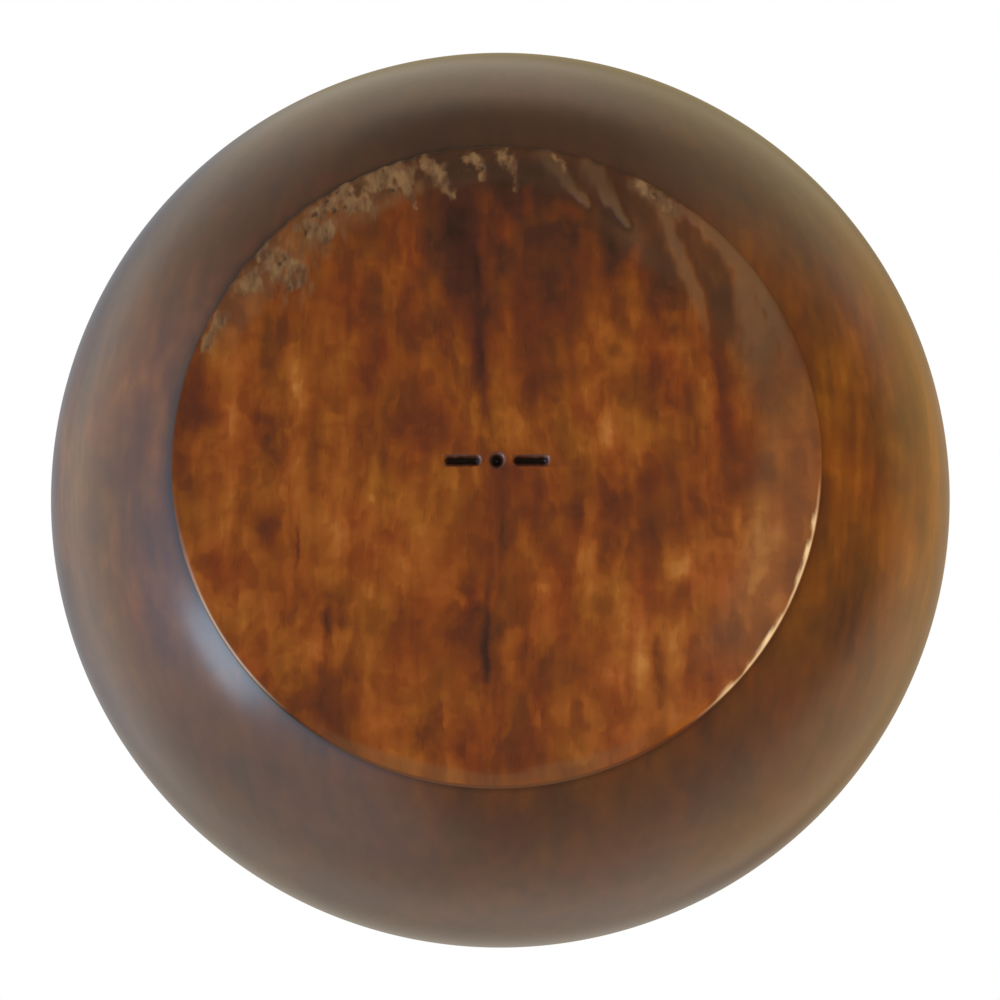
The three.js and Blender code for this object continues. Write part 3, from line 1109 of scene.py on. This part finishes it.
    def torn(self, x: float, y: float) -> tuple[float, float]:
        """Gives the torn grain: chips with fingers that follow the grain in from the edge.

        Args:
            x: The place across the grain, in millimetres.
            y: The place along it.

        Returns:
            How torn the place is and how deep its pits are, each from 0 to 1.
        """
        shake = noise.noise_vector(Vector((x / 1.0, y / 1.7, 7.1)))
        inside = max(tear.inside(x + 0.8 * shake.x, y + 1.2 * shake.y) for tear in TEARS)
        if inside < -1.5:
            return 0.0, 0.0
        blocks = noise.noise(Vector((x / 1.2, y / 2.4, 4.4)))
        fringe = 0.4 * smooth(-1.4, -0.1, inside) * smooth(-0.2, 0.3, blocks)
        torn = max(smooth(-0.15, 0.3, inside) * smooth(-0.75, -0.25, blocks), fringe)
        pits = smooth(0.34, 0.6, noise.noise(Vector((x / 0.9, y / 1.3, 9.7))))
        return torn, torn * pits

    def painted_shade(self, angle: float, radius: float) -> float:
        """Gives the painted shade round the broken edge, on the face and on the wall beside the foot.

        Args:
            angle: The place round the foot, in degrees.
            radius: The place out from the axis, in millimetres.

        Returns:
            How dark the painted shade is there, from 0 to 1.
        """
        along = math.radians(angle) * self.radius
        reach = 3.4 + 5.5 * self.deepest_shade.at(angle) + 1.5 * noise.noise(Vector((along / 4, 0.0, 1.2)))
        present = self.shaded.at(angle) * (0.5 + 0.5 * smooth(-128, -104, angle))
        if radius < self.radius:
            return present * smooth(self.radius - reach - 1.5, self.radius - 0.4 * reach, radius)
        # On the wall, painted shade beside the foot all round but on its lit side, darker below the broken
        # edge
        on_wall = smooth(self.radius + 15, self.radius + 5, radius)
        return max(0.8 * present, 0.24 * (1 - self.unshaded_wall.at(angle))) * on_wall

    def nick(self, angle: float, radius: float) -> float:
        """Gives how far the foot's edge is broken away where its grain is torn.

        Args:
            angle: The place round the foot, in degrees.
            radius: The place out from the axis, in millimetres.

        Returns:
            How far the edge stands back, in millimetres.
        """
        present = self.broken.at(angle) * smooth(self.radius - 2.5, self.radius - 1.0, radius)
        along = math.radians(angle) * self.radius
        bites = 0.35 + noise.fractal(Vector((along / 2.4, 0.0, 8.8)), 1.0, 2.0, 2)
        return present * self.nick_depth * bites

    def wear_and_glint(self, angle: float, radius: float) -> float:
        """Bares the foot's edge where it is set down first, with a painted glint, and paints a narrow
        highlight along its far side.

        Args:
            angle: The place round the foot, in degrees.
            radius: The place out from the axis, in millimetres.

        Returns:
            The wear there, from 0 to 1.
        """
        crescent = self.bared_and_glinting.at(angle)
        along = math.radians(angle) * self.radius
        patchy = 0.5 + 0.7 * noise.noise(Vector((along / 2.3, 0.0, 5.5)))
        start = self.radius - 0.6 - 0.5 * patchy * crescent
        bare_and_glint = crescent * smooth(start, start + 0.35, radius) * (0.6 + 0.4 * patchy)
        line_highlight = self.highlight_line.at(angle) * smooth(self.radius - 0.6, self.radius - 0.3, radius)
        return max(bare_and_glint, 0.45 * line_highlight)

    def dull(self, angle: float, radius: float) -> float:
        """Gives how far the varnish is gone at the foot's edge, which stays glossy on one side.

        Args:
            angle: The place round the foot, in degrees.
            radius: The place out from the axis, in millimetres.

        Returns:
            How dull the place is, from 0 to 1.
        """
        return (1 - self.glossy.at(angle)) * smooth(self.radius - 1.6, self.radius - 0.9, radius)

    def work(self, bm: bmesh.types.BMesh, height: float) -> None:
        """Cuts, rubs and tears the foot of a bowl, and writes where it did, with painted shade, sheen and
        glints.

        Args:
            bm: The bowl, whose edges are marked.
            height: How high the foot is, in millimetres.
        """
        noise.seed_set(self.noise_seed)
        names = ("sanded", "rubbed", "painted_shade", "torn", "dull")
        layers = {name: bm.verts.layers.float.new(name) for name in names}
        layers |= {name: bm.verts.layers.float[name] for name in ("worn_and_glint", "recess_shade")}
        for vert in bm.verts:
            x, y, z = (value / MM for value in vert.co)
            radius = math.hypot(x, y)
            angle = math.degrees(math.atan2(y, x))
            # Painted shade beside the foot and round its broken edge
            if z < 3 * height:
                vert[layers["painted_shade"]] = self.painted_shade(angle, radius)
            if z > height or radius > self.radius + 0.01:
                continue
            below = 1 - z / height
            cut = self.mark(x, y)
            fall, rubbed = self.rubbed(angle, radius)
            torn, pit = self.torn(x, y)
            lumps = noise.noise(Vector((x / 0.9, y / 1.7, 2.2)))
            rough = torn * (self.torn_depth * (1 + 0.8 * lumps) + self.pit_depth * pit)
            valley, crest, hollow = self.ridges(x, y, angle, radius)
            vert.co.z += max(0.0, cut + below * (fall + rough + valley)) * MM
            vert.co.xy *= 1 - below * max(0.0, self.nick(angle, radius)) / max(radius, 1.0)
            vert[layers["sanded"]] = smooth(0.0, 1.0, below)
            # Painted shade in the hollows beside the ridges and on the ridges, lighter on the ridges
            # towards +X and lifted off torn grain
            lit_crest = crest * (0.5 + 0.5 * smooth(-75, -15, angle))
            painted_shade = max(vert[layers["painted_shade"]], self.hollow_shade * hollow, self.crest_shade * crest)
            vert[layers["painted_shade"]] = painted_shade * (1 - self.shade_lift * max(torn, lit_crest))
            # The rubbed colour is partly a painted sheen where the face falls away, and a painted highlight
            # on the ridges
            vert[layers["rubbed"]] = max(self.roll_rub_and_sheen * rubbed, self.crest_sheen * crest) * below
            vert[layers["torn"]] = torn * below
            # Painted shade in the mark's cuts and in the pits
            vert[layers["recess_shade"]] = max(smooth(0.0, 0.7 * self.cut_depth, cut), 0.6 * pit)
            matte = max(torn, 0.7 * rubbed, crest, hollow, self.dull(angle, radius))
            vert[layers["dull"]] = matte * below
            # Wood rubbed free of stain, with a painted glint on the foot's edge, and a painted highlight
            # along its far side
            vert[layers["worn_and_glint"]] = self.wear_and_glint(angle, radius) * smooth(0.9, 0.97, below)


@dataclass
class BowlShell:
    """The bowl: one turned piece, with its foot, its struck drive-centre mark and its torn grain.

    Its width and height are the frame's. Slopes are in degrees above level.
    """

    sides: int = 384
    foot_radius: float = 52.7
    foot_height: float = 3.0
    foot_arris: float = 0.7
    foot_draft: float = 0.5
    belly_height: float = 42.0
    flare_slope: float = 20.0
    collar_height: float = 4.0
    collar_round: float = 0.8
    shoulder_slope: float = 27.0
    wall: float = 7.0
    floor: float = 10.0
    floor_flat_radius: float = 36.0
    mouth_radius: float = 53.0
    mouth_depth: float = 10.0
    throat_slope: float = 20.0
    rim_width: float = 8.5
    arris: float = 0.4
    scribe_drop: float = 9.0
    scribe_spacing: float = 2.6
    scribe_width: float = 1.1
    scribe_depth: float = 0.45
    torn_cuts: int = 1

    def build(self, wood: bpy.types.Material) -> None:
        """Turns the bowl, works its foot over and sets it in the frame.

        Args:
            wood: The bowl's material.
        """
        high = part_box("bowl")[1]
        belly_radius, rim_height = high.x / MM, high.z / MM
        foot = FootFace(self.foot_radius)
        bm = turned(self._outline(belly_radius, rim_height, foot), self.sides)
        mark_edges(bm)
        self._refine_torn_edge(bm, foot)
        foot.work(bm, self.foot_height)
        hand_over(finish_piece(bm, "turned_bowl"), wood, Body.BOWL, "bowl")

    def _outline(self, belly_radius: float, rim_height: float, foot: FootFace) -> Outline:
        """Draws the bowl's profile, up the outside and down the inside.

        Args:
            belly_radius: The widest radius.
            rim_height: The height of the land that carries the lid.
            foot: The foot's face, whose mark needs fine steps.

        Returns:
            The profile, from axis to axis.
        """
        collar_radius = self.mouth_radius + self.rim_width
        collar_foot = rim_height - self.collar_height
        root = (self.foot_radius - self.foot_draft, self.foot_height)
        flare = self.foot_height + (belly_radius - root[0]) * math.tan(math.radians(self.flare_slope))
        steepness = math.tan(math.radians(self.shoulder_slope))
        shoulder = collar_foot - (belly_radius - collar_radius) * steepness
        belly = (belly_radius, self.belly_height)
        face_radius = self.foot_radius - self.foot_arris
        outside = (
            Outline(0, 0)
            .line((foot.pip_radius * 1.1, 0), 4)
            .line((foot.mark_span / 2 + 0.8, 0), 22)
            .line((face_radius * 0.7, 0), 8)
            .line((face_radius, 0), 36)
            .bow((self.foot_radius, 0), (self.foot_radius, self.foot_arris), 5)
            .line(root, 4)
            .bow((belly_radius, flare), belly, 34)
            .bow((belly_radius, shoulder), (collar_radius, collar_foot), 26)
        )
        for drop in (self.scribe_drop, self.scribe_drop + self.scribe_spacing):
            outside.scribe(collar_foot - drop, self.scribe_width, self.scribe_depth)
        inner_belly = (belly_radius - self.wall, self.belly_height)
        throat = (self.mouth_radius, rim_height - self.mouth_depth)
        hollow = throat[1] - (inner_belly[0] - throat[0]) * math.tan(math.radians(self.throat_slope))
        return (
            outside.line((collar_radius, rim_height - self.collar_round), 3)
            .bow((collar_radius, rim_height), (collar_radius - self.collar_round, rim_height), 4)
            .corner((self.mouth_radius, rim_height), throat, self.arris)
            .line(throat, 2)
            .bow((inner_belly[0], hollow), inner_belly, 16)
            .bow((inner_belly[0], self.floor), (self.floor_flat_radius, self.floor), 18)
            .line((0, self.floor), 5)
        )

    def _refine_torn_edge(self, bm: bmesh.types.BMesh, foot: FootFace) -> None:
        """Divides the faces of the foot's torn and ridged edge, so that they can hold its chips.

        Args:
            bm: The bowl.
            foot: The foot's face.
        """
        inner = (self.foot_radius - foot.fine_width) * MM
        outer = (self.foot_radius - self.foot_arris) * MM + WELD
        first, last = foot.fine_angles
        for vert in bm.verts:
            angle = math.degrees(math.atan2(vert.co.y, vert.co.x))
            level = abs(vert.co.z) < WELD and inner < vert.co.xy.length < outer
            vert.tag = level and first < angle < last
        edges = [edge for edge in bm.edges if all(vert.tag for vert in edge.verts)]
        bmesh.ops.subdivide_edges(bm, edges=edges, cuts=self.torn_cuts, use_grid_fill=True)


@dataclass
class DomedLid:
    """The lid: a domed disc with a rounded edge, a spigot and a hollowed underside.

    Its width and height are the frame's. Slopes are in degrees above level.
    """

    sides: int = 384
    mouth_radius: float = 53.0
    edge_height: float = 4.2
    edge_step: float = 1.4
    rise: float = 13.0
    dome_slope: float = 38.0
    centre_thickness: float = 10.0
    flat_radius: float = 16.0
    seat_radius: float = 13.5
    spigot_width: float = 6.0
    spigot_wall: float = 4.0
    spigot_gap: float = 0.4
    spigot_depth: float = 6.0
    tenon_radius: float = 6.0
    tenon_gap: float = 0.15
    arris: float = 0.4
    scribe_drop: float = 5.0
    scribe_spacing: float = 1.5
    scribe_width: float = 1.1
    scribe_depth: float = 0.45

    def build(self, wood: bpy.types.Material) -> None:
        """Turns the lid and sets it in the frame.

        Args:
            wood: The lid's material.
        """
        bm = turned(self._outline(), self.sides, closed=True)
        mark_edges(bm)
        hand_over(finish_piece(bm, "turned_lid"), wood, Body.LID, "lid")

    def _outline(self) -> Outline:
        """Draws the lid's profile round the hole for the knob's tenon.

        Returns:
            The profile, closed on itself.
        """
        low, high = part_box("lid")
        radius, foot, seat = high.x / MM, low.z / MM, high.z / MM
        land = foot + self.spigot_depth
        edge_top = land + self.edge_height
        under = seat - self.centre_thickness
        bead = self.edge_height / 2
        dome_foot = (radius - bead - self.edge_step, edge_top)
        dome_corner = (dome_foot[0] - self.rise / math.tan(math.radians(self.dome_slope)), seat)
        spigot = self.mouth_radius - self.spigot_gap
        inner = spigot - self.spigot_width
        hole = self.tenon_radius + self.tenon_gap
        outline = (
            Outline(spigot, land)
            .line((radius - bead, land), 3)
            .bow((radius, land), (radius, land + bead), 6)
            .bow((radius, edge_top), (radius - bead, edge_top), 6)
            .corner(dome_foot, dome_corner, 0.3)
            .bow(dome_corner, (self.seat_radius, seat), 40)
        )
        for drop in (self.scribe_drop, self.scribe_drop + self.scribe_spacing):
            outline.scribe(seat - drop, self.scribe_width, self.scribe_depth)
        return (
            outline.corner((hole, seat), (hole, under), 0.2)
            .corner((hole, under), (self.flat_radius, under), 0.2)
            .line((self.flat_radius, under), 3)
            .bow((inner, under), (inner, foot + self.spigot_wall), 20)
            .corner((inner, foot), (spigot, foot), self.arris)
            .corner((spigot, foot), (spigot, land), self.arris)
            .line((spigot, land - 0.05), 2)
        )


@dataclass
class TurnedKnob:
    """The knob: a bulb on a hollow neck and a rounded collar, with a wedged tenon below.

    The seat's height is above the table, and the other heights are above the seat.
    """

    sides: int = 160
    seat_height: float = 93.2
    collar_radius: float = 11.5
    collar_height: float = 3.2
    neck_radius: float = 6.4
    neck_height: float = 8.0
    bulb_radius: float = 13.5
    bulb_height: float = 17.0
    shoulder_height: float = 24.5
    button_radius: float = 2.6
    button_height: float = 1.8
    tenon_radius: float = 6.0
    kerf_depth: float = 8.0
    kerf_mouth: float = 2.6
    kerf_tip: float = 1.1
    wedge_gap: float = 0.15
    wedge_tip_gap: float = 0.6
    wedge_arris: float = 0.12

    def build(self, wood: bpy.types.Material, wedge_wood: bpy.types.Material) -> None:
        """Turns the knob, saws its tenon, drives the wedge and sets both in the frame.

        Args:
            wood: The knob's material.
            wedge_wood: The wedge's material.
        """
        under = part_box("knob")[0].z / MM
        bm = turned(self._outline(under), self.sides)
        knob = finish_piece(bm, "turned_knob")
        self._saw_kerf(knob, under)
        hand_over(knob, wood, Body.LID, "knob")
        wedge = finish_piece(self._wedge(under), "glued_wedge")
        hand_over(wedge, wedge_wood, Body.LID, "tenon_wedge")

    def _outline(self, under: float) -> Outline:
        """Draws the knob's profile from the tenon's end to the button on top.

        Args:
            under: The height of the tenon's end.

        Returns:
            The profile, from axis to axis.
        """
        seat = self.seat_height
        bead = self.collar_height / 2
        collar_top = (self.collar_radius - bead, seat + self.collar_height)
        neck = (self.neck_radius, seat + self.neck_height)
        bulb = (self.bulb_radius, seat + self.bulb_height)
        half_way = (neck[1] + bulb[1]) / 2
        waist = ((neck[0] + bulb[0]) / 2, half_way)
        shoulder = (self.button_radius, seat + self.shoulder_height)
        top = seat + self.shoulder_height + self.button_height
        return (
            Outline(0, under)
            .corner((self.tenon_radius, under), (self.tenon_radius, seat), 0.2)
            .line((self.tenon_radius, seat), 4)
            .line((self.collar_radius - bead, seat))
            .bow((self.collar_radius, seat), (self.collar_radius, seat + bead), 6)
            .bow((self.collar_radius, collar_top[1]), collar_top, 6)
            .bow((neck[0], collar_top[1]), neck, 14)
            .bow((neck[0], half_way), waist, 8)
            .bow((bulb[0], half_way), bulb, 12)
            .bow((bulb[0], shoulder[1]), shoulder, 18)
            .bow((shoulder[0], top), (0, top), 10)
        )

    def _saw_kerf(self, knob: bpy.types.Object, under: float) -> None:
        """Saws the tapered kerf across the tenon, at right angles to the lid's grain.

        Args:
            knob: The knob, whose mesh is changed.
            under: The height of the tenon's end.
        """
        cutter = finish_piece(self._prism(under, 4 * self.tenon_radius, 0.0, 0.0, 1.0), "kerf_cutter")
        cut = knob.modifiers.new("kerf", "BOOLEAN")
        cut.object = cutter
        cut.operation = "DIFFERENCE"
        cut.solver = "EXACT"
        graph = bpy.context.evaluated_depsgraph_get()
        sawn = bpy.data.meshes.new_from_object(knob.evaluated_get(graph))
        knob.modifiers.clear()
        bm = bmesh.new()
        bm.from_mesh(sawn)
        mark_edges(bm, 0.9, 3.0)
        bm.to_mesh(knob.data)
        bm.free()
        bpy.data.objects.remove(cutter)

    def _wedge(self, under: float) -> bmesh.types.BMesh:
        """Makes the wedge, a glue line narrower than the kerf on each side.

        Args:
            under: The height of the tenon's end, which the wedge is trimmed flush with.

        Returns:
            The wedge.
        """
        length = 2 * math.sqrt(self.tenon_radius ** 2 - (self.kerf_mouth / 2) ** 2)
        bm = self._prism(under, length, self.wedge_gap, self.wedge_tip_gap, 0.0)
        bmesh.ops.bevel(
            bm, geom=bm.edges[:], offset=self.wedge_arris * MM, segments=2, profile=0.5, affect="EDGES",
            material=-1,
        )
        return bm

    def _prism(
        self, under: float, length: float, gap: float, tip_gap: float, below: float
    ) -> bmesh.types.BMesh:
        """Makes a tapered prism along X that fills the kerf.

        Args:
            under: The height of its wide end.
            length: Its length along X.
            gap: How much narrower than the kerf it is, on each side.
            tip_gap: How far short of the kerf's end it stops.
            below: How far it reaches below its wide end.

        Returns:
            The prism.
        """
        top = under + self.kerf_depth - tip_gap
        taper = (self.kerf_mouth - self.kerf_tip) / self.kerf_depth
        widths = {
            -1: self.kerf_mouth + taper * below - 2 * gap,
            1: self.kerf_tip + taper * tip_gap - 2 * gap,
        }
        bm = bmesh.new()
        bmesh.ops.create_cube(bm, size=2.0)
        for vert in bm.verts:
            end = 1 if vert.co.z > 0 else -1
            vert.co.x *= length / 2 * MM
            vert.co.y *= widths[end] / 2 * MM
            vert.co.z = (top if end > 0 else under - below) * MM
        return bm


@dataclass(frozen=True)
class Viewpoint:
    """Where the camera stands below the bowl.

    Attributes:
        distance: From the foot's face, in millimetres.
        tilt: How far the camera leans from the bowl's axis along the grain, in degrees.
        side: How far it leans across the grain.
        lens: Its focal length in millimetres, on a sensor 36 mm wide.
        aim: The place on the foot's face at the middle of the picture, in millimetres.
    """

    distance: float = 372.0
    tilt: float = 7.45
    side: float = -0.76
    lens: float = 83.03
    aim: Point = (0.6, 6.46)

    def place(self) -> None:
        """Makes the scene's camera."""
        data = bpy.data.cameras.new("camera")
        data.lens = self.lens
        data.sensor_width = 36.0
        data.clip_start = 0.01
        data.clip_end = 20.0
        camera = bpy.data.objects.new("camera", data)
        camera.rotation_euler = (math.pi + math.radians(self.tilt), math.radians(self.side), 0)
        ahead = camera.rotation_euler.to_matrix() @ Vector((0, 0, -1))
        camera.location = (Vector((*self.aim, 0)) - ahead * self.distance) * MM
        bpy.context.scene.collection.objects.link(camera)
        bpy.context.scene.camera = camera


@dataclass(frozen=True)
class Softbox:
    """A square soft lamp that faces the bowl.

    Attributes:
        name: The lamp's name.
        azimuth: Its direction, in degrees from +X towards +Y.
        elevation: Its height above the horizon, in degrees.
        distance: From the bowl, in metres.
        size: Its side, in metres.
        power: In watts.
        colour: Its sRGB colour.
        mirrored: Whether gloss shows it; a fill lamp only lights.
    """

    name: str
    azimuth: float
    elevation: float
    distance: float
    size: float
    power: float
    colour: str = "ffffff"
    mirrored: bool = True

    def place(self) -> None:
        """Makes the lamp."""
        data = bpy.data.lights.new(self.name, "AREA")
        data.shape = "SQUARE"
        data.size = self.size
        data.energy = self.power
        data.color = linear(self.colour)[:3]
        lamp = bpy.data.objects.new(self.name, data)
        out = direction(self.azimuth, self.elevation)
        lamp.location = out * self.distance + Vector((0, 0, LAMP_AIM))
        lamp.rotation_euler = out.to_track_quat("Z", "Y").to_euler()
        lamp.visible_glossy = self.mirrored
        bpy.context.scene.collection.objects.link(lamp)


@dataclass(frozen=True)
class Glow:
    """A broad patch of the surroundings that is brighter or dimmer than the rest.

    Attributes:
        azimuth: The direction of its middle, in degrees from +X towards +Y.
        elevation: The height of its middle above the horizon, in degrees.
        inner: How far from its middle it is whole, in degrees.
        outer: How far from its middle it ends.
        colour: Its sRGB colour.
        strength: How bright it is.
    """

    azimuth: float
    elevation: float
    inner: float
    outer: float
    colour: str
    strength: float


@dataclass
class Studio:
    """The pale floor, the soft light all round and the lamps.

    Attributes:
        floor_size: The floor's side, in metres.
        floor_drop: How far below the foot it lies, in millimetres.
        floor_colour: Its sRGB colour.
        sky: The surroundings' sRGB colours, each at its height above the horizon, in degrees.
        glows: The patches that are laid over the sky, one over the other.
        lamps: The lamps.
    """

    floor_size: float = 8.0
    floor_drop: float = 0.2
    floor_colour: str = "e9e7e3"
    sky: tuple[tuple[float, str], ...] = (
        (-90, "2a2420"),
        (-50, "4d453d"),
        (-25, "a59788"),
        (-5, "d2c6b6"),
        (20, "f3ebdd"),
        (42, "e4dccf"),
        (62, "8a8174"),
        (78, "3a352e"),
    )
    glows: tuple[Glow, ...] = (
        Glow(176, -20, 12, 50, "ccd6ee", 1.2),
        Glow(153, -38, 7, 38, "a8d6ff", 1.5),
        Glow(128, -18, 12, 34, "dcdcdc", 1.12),
        Glow(182, 25, 14, 44, "f4f0ea", 1.2),
        Glow(200, 62, 12, 40, "a8acb4", 1.0),
        Glow(0, 66, 10, 40, "32343a", 1.0),
        Glow(-62, 2, 10, 34, "c6ba96", 1.0),
        Glow(-90, -24, 8, 33, "6e665e", 1.0),
        Glow(-90, 28, 12, 38, "f0e4ca", 1.14),
        Glow(-55, 28, 8, 30, "ecdcb0", 1.0),
        Glow(-4, -24, 14, 50, "7e5a32", 1.0),
        Glow(-4, 34, 14, 44, "e8b870", 1.15),
        Glow(34, 22, 8, 36, "f0d2a4", 1.2),
        Glow(0, 66, 8, 26, "bca684", 1.0),
        Glow(-80, 60, 6, 24, "b8a87e", 1.0),
        Glow(105, 62, 10, 36, "c4bcae", 1.0),
    )
    lamps: tuple[Softbox, ...] = (
        Softbox("window", 154, -39, 0.75, 0.2, 0.62, "c6e8ff"),
        Softbox("lamp_below", 28, -64, 0.8, 0.2, 2.4, "ffe2bd", mirrored=False),
        Softbox("fill_below", 20, -72, 1.0, 0.4, 3.7, "fff4ea", mirrored=False),
        Softbox("key_above", 215, 74, 1.2, 1.2, 5.0, "fff6ea", mirrored=False),
    )

    def build(self) -> None:
        """Sets the studio up round the bowl."""
        bpy.context.scene.view_settings.view_transform = "Standard"
        self._light_world()
        self._lay_floor()
        for lamp in self.lamps:
            lamp.place()

    def _light_world(self) -> None:
        """Makes a sky that is pale above and dim below, and white where the camera sees it."""
        world = bpy.data.worlds.new("studio")
        bpy.context.scene.world = world
        world.use_nodes = True
        tree = world.node_tree
        tree.nodes.clear()
        towards = add_node(tree, "ShaderNodeTexCoord").outputs["Generated"]
        height = add_node(tree, "ShaderNodeSeparateXYZ", {0: towards}).outputs["Z"]
        share = add_node(tree, "ShaderNodeMapRange", {"Value": height, "From Min": -1.0})
        shades = add_node(tree, "ShaderNodeValToRGB", {"Fac": share.outputs[0]})
        stops = [((math.sin(math.radians(rise)) + 1) / 2, linear(code)) for rise, code in self.sky]
        fill_ramp(shades.color_ramp, stops)
        shade = shades.outputs["Color"]
        for glow in self.glows:
            near = add_node(tree, "ShaderNodeVectorMath", {
                0: towards, 1: direction(glow.azimuth, glow.elevation),
            }, operation="DOT_PRODUCT")
            mask = add_node(tree, "ShaderNodeMapRange", {
                "Value": near.outputs["Value"],
                "From Min": math.cos(math.radians(glow.outer)),
                "From Max": math.cos(math.radians(glow.inner)),
            }, interpolation_type="SMOOTHSTEP")
            bright = [channel * glow.strength for channel in linear(glow.colour)[:3]]
            shade = add_node(tree, "ShaderNodeMix", {
                0: mask.outputs[0], 6: shade, 7: (*bright, 1.0),
            }, data_type="RGBA").outputs[2]
        soft = add_node(tree, "ShaderNodeBackground", {"Color": shade, "Strength": 1.0})
        white = add_node(tree, "ShaderNodeBackground", {"Color": (1, 1, 1, 1), "Strength": 1.0})
        ray = add_node(tree, "ShaderNodeLightPath")
        seen = add_node(tree, "ShaderNodeMixShader", {
            0: ray.outputs["Is Camera Ray"], 1: soft.outputs[0], 2: white.outputs[0],
        })
        add_node(tree, "ShaderNodeOutputWorld", {"Surface": seen.outputs[0]})

    def _lay_floor(self) -> None:
        """Lays a floor that shows only from above and lets the light from below through."""
        bm = bmesh.new()
        bmesh.ops.create_grid(bm, x_segments=1, y_segments=1, size=self.floor_size / 2)
        bmesh.ops.transform(bm, matrix=Matrix.Translation((0, 0, -self.floor_drop * MM)), verts=bm.verts)
        floor = finish_piece(bm, "floor")
        material = bpy.data.materials.new("floor_paint")
        material.use_nodes = True
        tree = material.node_tree
        tree.nodes.clear()
        side = add_node(tree, "ShaderNodeNewGeometry")
        paint = add_node(tree, "ShaderNodeBsdfDiffuse", {"Color": linear(self.floor_colour)})
        clear = add_node(tree, "ShaderNodeBsdfTransparent")
        seen = add_node(tree, "ShaderNodeMixShader", {
            0: side.outputs["Backfacing"], 1: paint.outputs[0], 2: clear.outputs[0],
        })
        add_node(tree, "ShaderNodeOutputMaterial", {"Surface": seen.outputs[0]})
        floor.data.materials.append(material)
        floor.visible_diffuse = False
        floor.visible_glossy = False
        floor.visible_transmission = False
        floor.visible_shadow = False


def main() -> None:
    """Builds the bowl, its lid and the studio round them."""
    logging.basicConfig(level=logging.INFO, format="%(name)s: %(message)s")
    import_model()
    Viewpoint().place()
    Studio().build()
    hardwood = Hardwood()
    BowlShell().build(hardwood.material("bowl_hardwood", Grain.LEVEL, (0, 0, 0), FOOT_FIGURE))
    DomedLid().build(hardwood.material("lid_hardwood", Grain.LEVEL, (180, 60, 40)))
    wedge_wood = Hardwood(
        tones=((0.2, "8a6236"), (0.5, "c29a66"), (0.8, "d9b988")), pore="6d4a28", coat=0.2,
    )
    TurnedKnob().build(
        hardwood.material("knob_hardwood", Grain.UPRIGHT, (90, 30, 200)),
        wedge_wood.material("wedge_beech", Grain.UPRIGHT, (20, 10, 20)),
    )


if __name__ == "__main__":
    main()
